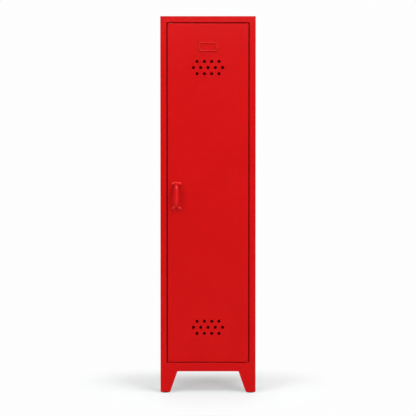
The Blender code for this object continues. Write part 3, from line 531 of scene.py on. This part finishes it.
def shaped_mesh(item):
    """The mesh of an object with its modifiers applied."""
    bpy.context.view_layer.update()
    return bpy.data.meshes.new_from_object(item.evaluated_get(bpy.context.evaluated_depsgraph_get()))


def work_object(bm):
    """A bmesh as an object of the scene for a while."""
    mesh = bpy.data.meshes.new("work")
    bm.to_mesh(mesh)
    bm.free()
    item = bpy.data.objects.new("work", mesh)
    scene.collection.objects.link(item)
    return item


def taken_back(item, *others):
    """The finished shape of a work object as a bmesh, with the work objects removed."""
    mesh = shaped_mesh(item)
    bm = bmesh.new()
    bm.from_mesh(mesh)
    bpy.data.meshes.remove(mesh)
    for done in (item, *others):
        bpy.data.meshes.remove(done.data)
    return bm


def combine(bm, tool, operation="DIFFERENCE"):
    """Cut one bmesh out of another, or join it on."""
    target, cutter = work_object(bm), work_object(tool)
    boolean = target.modifiers.new("combine", "BOOLEAN")
    boolean.operation = operation
    boolean.solver = "EXACT"
    boolean.object = cutter
    return taken_back(target, cutter)


def add_piece(name, bm, slot, *nodes, flat=True, finish=None):
    """Make a bmesh a piece in a slot's finish that stands for CAD nodes and rides on their body."""
    mesh = bpy.data.meshes.new(name)
    bm.to_mesh(mesh)
    bm.free()
    mesh.shade_smooth()
    mesh.set_sharp_from_angle(angle=SMOOTH_ANGLE)
    mesh.materials.append(finish or finishes[slot])
    piece = bpy.data.objects.new(name, mesh)
    scene.collection.objects.link(piece)
    if flat:
        piece.modifiers.new("even_faces", "WEIGHTED_NORMAL").keep_sharp = True
    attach(piece, body_of[nodes[0]])
    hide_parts(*nodes)
    dressed.update(nodes)


def block(low, high):
    """A box between two corners."""
    bm = bmesh.new()
    low, high = Vector(low), Vector(high)
    bmesh.ops.create_cube(bm, size=1.0, matrix=Matrix.LocRotScale((low + high) / 2, None, high - low))
    return bm


def round_edges(bm, edges, radius, steps=EDGE_STEPS):
    """Round edges to a radius."""
    bmesh.ops.bevel(bm, geom=edges, offset=radius, offset_type="OFFSET", segments=steps, profile=0.5,
                    affect="EDGES", material=-1, clamp_overlap=True)


def round_corners(bm, verts, radius, steps=FOLD_STEPS):
    """Round the corners of a flat face."""
    bmesh.ops.bevel(bm, geom=verts, offset=radius, offset_type="OFFSET", segments=steps, profile=0.5,
                    affect="VERTICES", material=-1)


def sharp_edges(bm, facing=None):
    """Edges with a marked fold, all of them or those of the faces that look one way."""
    bm.normal_update()
    return [edge for edge in bm.edges
            if len(edge.link_faces) == 2 and edge.calc_face_angle() > SHARP_ANGLE
            and (facing is None or any(face.normal.dot(facing) > FACING_COSINE for face in edge.link_faces))]


def rods(points, radius, length, axis, bm=None):
    """Cylinders through several points, to pierce a sheet, in a new bmesh or added to one."""
    bm = bm or bmesh.new()
    for point in points:
        place = Matrix.Translation(point) @ AXIS_TURN[axis]
        bmesh.ops.create_cone(bm, cap_ends=True, segments=HOLE_SIDES, radius1=radius, radius2=radius,
                              depth=length, matrix=place)
    return bm


def turned(profile, axis, centre):
    """Solid turned about an axis from (radius, height) points that start and end on it or meet."""
    bm = bmesh.new()
    verts = [bm.verts.new((radius, 0, height)) for radius, height in profile]
    edges = [bm.edges.new(pair) for pair in zip(verts, verts[1:])]
    if profile[0][0] > 0:
        edges.append(bm.edges.new((verts[-1], verts[0])))
    bmesh.ops.spin(bm, geom=verts + edges, cent=(0, 0, 0), axis=(0, 0, 1), angle=math.tau, steps=ROUND_STEPS,
                   use_merge=True)
    bmesh.ops.remove_doubles(bm, verts=bm.verts, dist=POINT_MERGE)
    bmesh.ops.transform(bm, matrix=Matrix.Translation(centre) @ AXIS_TURN[axis], verts=bm.verts)
    bmesh.ops.recalc_face_normals(bm, faces=bm.faces)
    return bm


def middle(node):
    """The middle of a node's box."""
    low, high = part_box(node)
    return (low + high) / 2


def thicken(bm, face, vec):
    """Give a flat face a thickness."""
    grown = bmesh.ops.extrude_face_region(bm, geom=[face])["geom"]
    bmesh.ops.translate(bm, vec=vec, verts=[part for part in grown if isinstance(part, bmesh.types.BMVert)])
    bmesh.ops.recalc_face_normals(bm, faces=bm.faces)
    return bm


def legged_sheet(node, along, inset=0.0):
    """Body sheet that ends in two legs, filling its node's box, along X or Y."""
    low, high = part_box(node)
    place = {"X": lambda u, z: (u, low.y, z), "Y": lambda u, z: (low.x, u, z)}[along]
    start, end = (low.x, high.x) if along == "X" else (low.y, high.y)
    foot, crotch = LEG_FOOT_WIDTH - inset, LEG_TOP_WIDTH - inset
    outline = [(end, low.z), (end, high.z), (start, high.z), (start, low.z), (start + foot, low.z),
               (start + crotch, LEG_HEIGHT), (end - crotch, LEG_HEIGHT), (end - foot, low.z)]
    bm = bmesh.new()
    verts = [bm.verts.new(place(u, z)) for u, z in outline]
    bm.faces.new(verts)
    end_outside, _, _, start_outside, start_inside, start_crotch, end_crotch, end_inside = verts
    round_corners(bm, [start_crotch, end_crotch], LEG_CROTCH_RADIUS)
    round_corners(bm, [end_outside, start_outside, start_inside, end_inside], LEG_FOOT_RADIUS)
    return thicken(bm, bm.faces[:][0], (0, SHEET, 0) if along == "X" else (SHEET, 0, 0))


def soften_sheet(bm, facing, edge):
    """Round the edges of a sheet's outer face, and its inner ones a little."""
    facing = Vector(facing)
    round_edges(bm, sharp_edges(bm, facing), edge)
    round_edges(bm, sharp_edges(bm, -facing), HIDDEN_EDGE, FINE_STEPS)
    return bm


def make_front_face():
    """Front frame with its legs, and the door opening with its rounded corners."""
    low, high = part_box("front_frame")
    bm = bmesh.new()
    left, right = low.x + STILE_WIDTH, high.x - STILE_WIDTH
    bottom, top = LEG_HEIGHT + BOTTOM_RAIL, high.z - TOP_RAIL
    front = low.y - SHEET
    corners = [(left, bottom), (left, top), (right, top), (right, bottom)]
    verts = [bm.verts.new((x, front, z)) for x, z in corners]
    bm.faces.new(verts)
    round_corners(bm, verts, OPENING_RADIUS)
    opening = thicken(bm, bm.faces[:][0], (0, 3 * SHEET, 0))
    face = combine(legged_sheet("front_frame", "X"), opening)
    add_piece("front_face", soften_sheet(face, (0, -1, 0), FACE_EDGE), "red_paint", "front_frame")


def make_body_sheets():
    """Side sheets, and the back sheet with two holes for fixing it to a wall."""
    inset = SHEET + SEAM
    for side, outward in (("left", -1), ("right", 1)):
        node = f"{side}_side_panel"
        sheet = legged_sheet(node, "Y", inset)
        add_piece(f"{side}_side_sheet", soften_sheet(sheet, (outward, 0, 0), PANEL_EDGE), "red_paint", node)
    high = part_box("back_panel")[1]
    points = [(sign * WALL_HOLE_SPACING / 2, high.y, high.z - WALL_HOLE_DROP) for sign in (-1, 1)]
    back = combine(legged_sheet("back_panel", "X"), rods(points, WALL_HOLE_RADIUS, CUT_LENGTH, "Y"))
    add_piece("back_sheet", soften_sheet(back, (0, 1, 0), PANEL_EDGE), "red_paint", "back_panel")


def vent_points(low, high):
    """The middles of the vents in both groups."""
    for centre in (low.z + VENT_BOTTOM_RISE, high.z - VENT_TOP_DROP):
        for row, count in enumerate(VENT_ROWS):
            height = centre + (row - (len(VENT_ROWS) - 1) / 2) * VENT_ROW_PITCH
            for index in range(count):
                yield ((index - (count - 1) / 2) * VENT_PITCH, low.y, height)


def make_door_skin():
    """Folded door tray with a lip round its back, pierced for vents, rivets and pins."""
    low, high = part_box("door_panel")
    sheet = Vector((SHEET, SHEET, SHEET))
    outer = block(low, high)
    round_edges(outer, outer.edges[:], FOLD_RADIUS, FOLD_STEPS)
    hollow = block(low + sheet, high - sheet)
    round_edges(hollow, hollow.edges[:], FOLD_RADIUS - SHEET, EDGE_STEPS)
    skin = combine(outer, hollow)
    lip = Vector((DOOR_LIP, 0, DOOR_LIP))
    skin = combine(skin, block((low.x + lip.x, high.y - 2 * SHEET, low.z + lip.z),
                               (high.x - lip.x, high.y + SHEET, high.z - lip.z)))
    piercing = rods(vent_points(low, high), VENT_RADIUS, CUT_LENGTH, "Y")
    rivets = [(middle(node).x, low.y, middle(node).z) for node in rivet_nodes]
    rods(rivets, RIVET_SHANK_RADIUS + SEAM, CUT_LENGTH, "Y", piercing)
    pin = middle("upper_pivot_pin")
    rods([(pin.x, pin.y, low.z), (pin.x, pin.y, high.z)], PIN_RADIUS + SEAM, CUT_LENGTH, "Z", piercing)
    skin = combine(skin, piercing)
    front = Vector((0, -1, 0))
    round_edges(skin, sharp_edges(skin, front), VENT_EDGE, FINE_STEPS)
    add_piece("door_skin", skin, "red_paint", "door_panel")


def grip_stations():
    """Places along the bow: depth, height, direction of the path and share of the way to full width."""
    half = HANDLE_SPACING / 2
    crown = GRIP_THICKNESS / 2 - HANDLE_REACH
    angles = [math.pi / 2 * step / GRIP_STEPS for step in range(GRIP_STEPS + 1)]
    yield GRIP_ROOT, -half, -math.pi / 2, 0.0
    for angle in angles:
        depth = crown + GRIP_BEND * (1 - math.sin(angle))
        yield depth, -half + GRIP_BEND * (1 - math.cos(angle)), angle - math.pi / 2, math.sin(angle) ** 2
    for angle in angles:
        depth = crown + GRIP_BEND * (1 - math.cos(angle))
        yield depth, half - GRIP_BEND * (1 - math.sin(angle)), angle, math.cos(angle) ** 2
    yield GRIP_ROOT, half, math.pi / 2, 0.0


def bow_grip(centre):
    """Bow of oval section, lofted through rings that follow its path."""
    bm = bmesh.new()
    rings = []
    for depth, height, angle, fullness in grip_stations():
        width = GRIP_NECK_WIDTH + (GRIP_WIDTH - GRIP_NECK_WIDTH) * fullness
        place = (Matrix.Translation(centre + Vector((0, depth, height))) @ Matrix.Rotation(-angle, 4, "X")
                 @ Matrix.Diagonal((width / 2, GRIP_THICKNESS / 2, 1, 1)))
        ring = bmesh.ops.create_circle(bm, cap_ends=False, segments=GRIP_SIDES, radius=1.0, matrix=place)
        rings.append(list(dict.fromkeys(edge for vert in ring["verts"] for edge in vert.link_edges)))
    for ring, next_ring in zip(rings, rings[1:]):
        bmesh.ops.bridge_loops(bm, edges=ring + next_ring)
    bmesh.ops.edgeloop_fill(bm, edges=rings[0])
    bmesh.ops.edgeloop_fill(bm, edges=rings[-1])
    bmesh.ops.recalc_face_normals(bm, faces=bm.faces)
    return bm


def gather(bm, part):
    """Lay the shells of one bmesh into another."""
    mesh = bpy.data.meshes.new("part")
    part.to_mesh(mesh)
    part.free()
    bm.from_mesh(mesh)
    bpy.data.meshes.remove(mesh)


def make_handle():
    """Cast bow handle: grip, domed feet and rivet bosses run together with soft fillets."""
    low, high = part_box("handle")
    centre = Vector(((low.x + high.x) / 2, high.y + SEAM, (low.z + high.z) / 2))
    cast = bow_grip(centre)
    oval = Matrix.Diagonal((HANDLE_FOOT_WIDTH / 2, 1, HANDLE_FOOT_HEIGHT / 2, 1))
    for up in (-1, 1):
        dome = [(radius, -height) for radius, height in FOOT_DOME[::-1]]
        foot = turned(dome + [(0.0, 0.0)], "Y", (0, 0, 0))
        place = Matrix.Translation(centre + Vector((0, -SEAM, up * HANDLE_SPACING / 2))) @ oval
        bmesh.ops.transform(foot, matrix=place, verts=foot.verts)
        gather(cast, foot)
    points = [(middle(node).x, high.y - BOSS_HEIGHT / 2 + SEAM / 2, middle(node).z)
              for node in rivet_nodes if "handle" in node]
    gather(cast, rods(points, BOSS_RADIUS, BOSS_HEIGHT - SEAM, "Y"))
    item = work_object(cast)
    remesh = item.modifiers.new("run_together", "REMESH")
    remesh.mode = "VOXEL"
    remesh.voxel_size = CAST_GRAIN
    bow = taken_back(item)
    for _ in range(CAST_SMOOTHING):
        bmesh.ops.smooth_vert(bow, verts=bow.verts, factor=CAST_EASE, use_axis_x=True, use_axis_y=True,
                              use_axis_z=True)
    add_piece("bow_handle", bow, "red_paint", "handle", flat=False, finish=cast_red_painted_lighter)


def rivet_profile(grip, head_radius, head_height):
    """Domed head in front of what a rivet grips, and its set tail behind."""
    angles = [math.pi / 2 * step / RIVET_STEPS for step in range(RIVET_STEPS + 1)]
    crown = head_height - RIVET_RIM
    head = [(head_radius * math.sin(angle), -RIVET_RIM - crown * math.cos(angle)) for angle in angles]
    tail = grip + RIVET_TAIL_HEIGHT
    edge = RIVET_TAIL_HEIGHT / 3
    return head + [(head_radius, 0), (RIVET_SHANK_RADIUS, 0), (RIVET_SHANK_RADIUS, grip),
                   (RIVET_TAIL_RADIUS, grip), (RIVET_TAIL_RADIUS, tail - edge),
                   (RIVET_TAIL_RADIUS - edge, tail), (0, tail)]


def make_rivets():
    """Handle rivets, and the smaller ones of the card holder, both set behind the door skin."""
    for node in rivet_nodes:
        low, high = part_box(node)
        seat = low.y + RIVET_HEAD_HEIGHT
        head, finish = (CARD_RIVET_HEAD_RADIUS, CARD_RIVET_HEAD_HEIGHT), None
        if "handle" in node:
            head, finish = (RIVET_HEAD_RADIUS, RIVET_HEAD_HEIGHT), cast_red_painted_lighter
        profile = rivet_profile(high.y - RIVET_TAIL_HEIGHT - seat, *head)
        rivet = turned(profile, "Y", (middle(node).x, seat, middle(node).z))
        add_piece(node.replace("rivet", "rivet_head"), rivet, "red_paint", node, flat=False, finish=finish)


def make_card_holder():
    """Beaded card holder with a slot that opens along its top, and a rounded ear at each side."""
    low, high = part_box("card_frame")
    front = Vector((0, -1, 0))
    half, wall, bar = CARD_FRAME_WIDTH / 2, CARD_FRAME_SHEET, CARD_FRAME_BAR
    height = middle("card_frame").z
    holder = block((-half, low.y, low.z), (half, high.y, high.z))
    sides = [edge for edge in sharp_edges(holder, front)
             if min(vert.co.z for vert in edge.verts) < height < max(vert.co.z for vert in edge.verts)]
    round_edges(holder, sides, CARD_SIDE_BEAD, 2 * EDGE_STEPS)
    rims = [edge for edge in sharp_edges(holder) if min(vert.co.y for vert in edge.verts) < high.y - SEAM]
    round_edges(holder, rims, CARD_RIM)
    holder = combine(holder, block((bar - half, low.y - wall, low.z + bar),
                                   (half - bar, high.y + wall, high.z - bar)))
    window = [edge for edge in sharp_edges(holder, front) if min(vert.co.z for vert in edge.verts) < height]
    round_edges(holder, window, CARD_WINDOW_BEAD, 2 * EDGE_STEPS)
    ears = bmesh.new()
    reach, ear = high.x, CARD_EAR_HEIGHT / 2
    verts = [ears.verts.new((x, high.y - wall, height + z))
             for x, z in ((-reach, -ear), (reach, -ear), (reach, ear), (-reach, ear))]
    ears.faces.new(verts)
    round_corners(ears, verts, CARD_EAR_RADIUS)
    holder = combine(holder, thicken(ears, ears.faces[:][0], (0, wall, 0)), "UNION")
    holder = combine(holder, block((CARD_TUCK - half, high.y - CARD_SLOT, low.z + CARD_TUCK),
                                   (half - CARD_TUCK, high.y + wall, high.z + wall)))
    points = [(middle(node).x, high.y, height) for node in rivet_nodes if "card" in node]
    holder = combine(holder, rods(points, RIVET_SHANK_RADIUS + SEAM, 4 * wall, "Y"))
    round_edges(holder, sharp_edges(holder), HIDDEN_EDGE, FINE_STEPS)
    add_piece("card_holder", holder, "red_paint", "card_frame", finish=holder_red_painted_lighter)


def add_turned(node, slot, axis, foot, profile, finish=None):
    """A turned piece in place of a node, with its rims rounded a little."""
    bm = turned(profile, axis, foot)
    round_edges(bm, sharp_edges(bm), HARDWARE_EDGE, FINE_STEPS)
    add_piece(f"{node}_turned", bm, slot, node, flat=False, finish=finish)


def make_glides():
    """Round plastic glides with an eased sole and a stem pressed through the foot plate."""
    for node in (name for name in frame["nodes"] if name.endswith("glide")):
        centre, top = middle(node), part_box(node)[1].z
        profile = [(0, 0), (GLIDE_SOLE_RADIUS, 0), (GLIDE_RADIUS, GLIDE_HEIGHT / 2),
                   (GLIDE_RADIUS, GLIDE_HEIGHT), (GLIDE_STEM_RADIUS, GLIDE_HEIGHT), (GLIDE_STEM_RADIUS, top),
                   (0, top)]
        add_turned(node, "black_plastic", "Z", (centre.x, centre.y, 0), profile)


def make_coat_rail():
    """Drawn tube, and a moulded socket with an eased flange at each end of it."""
    low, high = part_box("coat_rail")
    centre, inside = middle("coat_rail"), RAIL_RADIUS - RAIL_WALL
    length = high.x - low.x
    tube = [(RAIL_RADIUS, 0), (RAIL_RADIUS, length), (inside, length), (inside, 0)]
    drawn_tube = plain_finish("drawn_tube", **PLAIN_FINISHES["drawn_tube"])
    add_turned("coat_rail", "zinc_steel", "X", (low.x, centre.y, centre.z), tube, drawn_tube)
    bore = RAIL_RADIUS + SEAM
    collar, rim, ease = bore + SOCKET_WALL, SOCKET_BASE + SOCKET_COLLAR, SOCKET_EASE
    profile = [(0, 0), (SOCKET_RADIUS, 0), (SOCKET_RADIUS, SOCKET_BASE - ease),
               (SOCKET_RADIUS - ease, SOCKET_BASE), (collar + ease, SOCKET_BASE),
               (collar, SOCKET_BASE + ease), (collar, rim - ease / 2), (collar - ease / 2, rim),
               (bore, rim), (bore, SOCKET_BASE), (0, SOCKET_BASE)]
    for side, inward in (("left", 1), ("right", -1)):
        node = f"{side}_rail_socket"
        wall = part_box(node)[0].x if inward > 0 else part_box(node)[1].x
        socket = [(radius, inward * height) for radius, height in profile]
        add_turned(node, slot_of(node), "X", (wall, centre.y, centre.z), socket)


def make_buffers():
    """Domed rubber buffers on the stop lip."""
    for node in ("lower_door_buffer", "upper_door_buffer"):
        low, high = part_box(node)
        length = high.y - low.y
        profile = [(BUFFER_RADIUS * radius, length * height) for radius, height in BUFFER_SHAPE]
        add_turned(node, "rubber", "Y", (middle(node).x, low.y, middle(node).z), profile)


def make_catch():
    """Pan-head screws with a cross recess, the magnet with its two poles, and the plate it holds."""
    for node in ("lower_catch_screw", "upper_catch_screw"):
        low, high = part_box(node)
        centre, shank = middle(node), high.y - low.y - SCREW_HEAD_HEIGHT
        profile = [(0, 0), (SCREW_RADIUS / 2, 0), (SCREW_RADIUS, SCREW_POINT), (SCREW_RADIUS, shank),
                   (SCREW_HEAD_RADIUS, shank)]
        profile += [(SCREW_HEAD_RADIUS * radius, shank + SCREW_HEAD_HEIGHT * height)
                    for radius, height in SCREW_HEAD_DOME]
        screw = turned(profile, "Y", (centre.x, low.y, centre.z))
        for arm in ((RECESS_ARM, RECESS_WIDTH / 2), (RECESS_WIDTH / 2, RECESS_ARM)):
            reach = Vector((arm[0], RECESS_DEPTH, arm[1]))
            head = Vector((centre.x, high.y, centre.z))
            screw = combine(screw, block(head - reach, head + reach))
        add_piece(f"{node}_turned", screw, "zinc_steel", node, flat=False)
    low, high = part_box("catch_magnet")
    poles = magnet_and_poles(middle("catch_magnet").x, (high.x - low.x) / 2 - POLE_WIDTH)
    core = combine(block(low, high), block((low.x + POLE_WIDTH, low.y - POLE_STEP, low.z - SHEET),
                                           (high.x - POLE_WIDTH, low.y + POLE_STEP, high.z + SHEET)))
    round_edges(core, sharp_edges(core), HIDDEN_EDGE, FINE_STEPS)
    add_piece("catch_magnet_poles", core, "zinc_steel", "catch_magnet", finish=poles)
    low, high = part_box("strike_plate")
    plate = block(low, high)
    corners = [edge for edge in plate.edges if abs(edge.verts[0].co.y - edge.verts[1].co.y) > SEAM]
    round_edges(plate, corners, STRIKE_CORNER, FOLD_STEPS)
    round_edges(plate, sharp_edges(plate), HARDWARE_EDGE, FINE_STEPS)
    add_piece("strike_plate_eased", plate, "zinc_steel", "strike_plate")


def make_stiffener():
    """Hat section behind the door skin, with the marks of its spot welds along both feet."""
    low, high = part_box("door_stiffener")
    bm = softened("door_stiffener", HIDDEN_EDGE)
    count = int((high.z - low.z) / WELD_PITCH)
    start = (low.z + high.z - (count - 1) * WELD_PITCH) / 2
    welds = [(x, low.y + SHEET, start + index * WELD_PITCH) for index in range(count)
             for x in (low.x + STIFFENER_FOOT / 2, high.x - STIFFENER_FOOT / 2)]
    bm = combine(bm, rods(welds, WELD_RADIUS, 2 * WELD_DEPTH, "Y"))
    add_piece("door_stiffener_welded", bm, "red_paint", "door_stiffener")


def softened(node, edge):
    """A copy of a node's mesh, merged and cleared of its extra edges, with its corners rounded."""
    bm = bmesh.new()
    bm.from_mesh(frame["nodes"][node].data)
    bmesh.ops.remove_doubles(bm, verts=bm.verts, dist=MESH_MERGE)
    bmesh.ops.dissolve_limit(bm, angle_limit=FLAT_ANGLE, verts=bm.verts, edges=bm.edges)
    round_edges(bm, sharp_edges(bm), edge, FINE_STEPS)
    return bm


def soften_rest():
    """Every node that no finer piece stands for yet, with softened edges."""
    for node in frame["nodes"]:
        if node not in dressed:
            edge = HARDWARE_EDGE if slot_of(node) != "red_paint" else HIDDEN_EDGE
            add_piece(f"{node}_detail", softened(node, edge), slot_of(node), node)


scene.view_settings.view_transform = "Standard"
place_camera()
light_stage()
make_room()
make_floor()
finishes = {
    "red_paint": red_powder_coat("red_powder_coat", *SHEET_PAINT),
    "zinc_steel": plain_finish("zinc_plate", **PLAIN_FINISHES["zinc_plate"]),
    "black_plastic": plain_finish("black_plastic", **PLAIN_FINISHES["black_plastic"]),
    "nylon": plain_finish("red_nylon", **PLAIN_FINISHES["red_nylon"]),
    "rubber": plain_finish("black_rubber", **PLAIN_FINISHES["black_rubber"]),
}
# The same red, painted lighter on castings and card holder as painted light, with their own gloss and
# roughness
cast_red_painted_lighter = red_powder_coat("red_powder_coat_on_castings_painted_lighter", *CAST_PAINT_WITH_PAINTED_LIGHT)
holder_red_painted_lighter = red_powder_coat("red_powder_coat_on_card_holder_painted_lighter", *HOLDER_PAINT_WITH_PAINTED_LIGHT)
dressed = set()
make_front_face()
make_body_sheets()
make_door_skin()
make_handle()
make_rivets()
make_card_holder()
make_glides()
make_coat_rail()
make_buffers()
make_catch()
make_stiffener()
soften_rest()
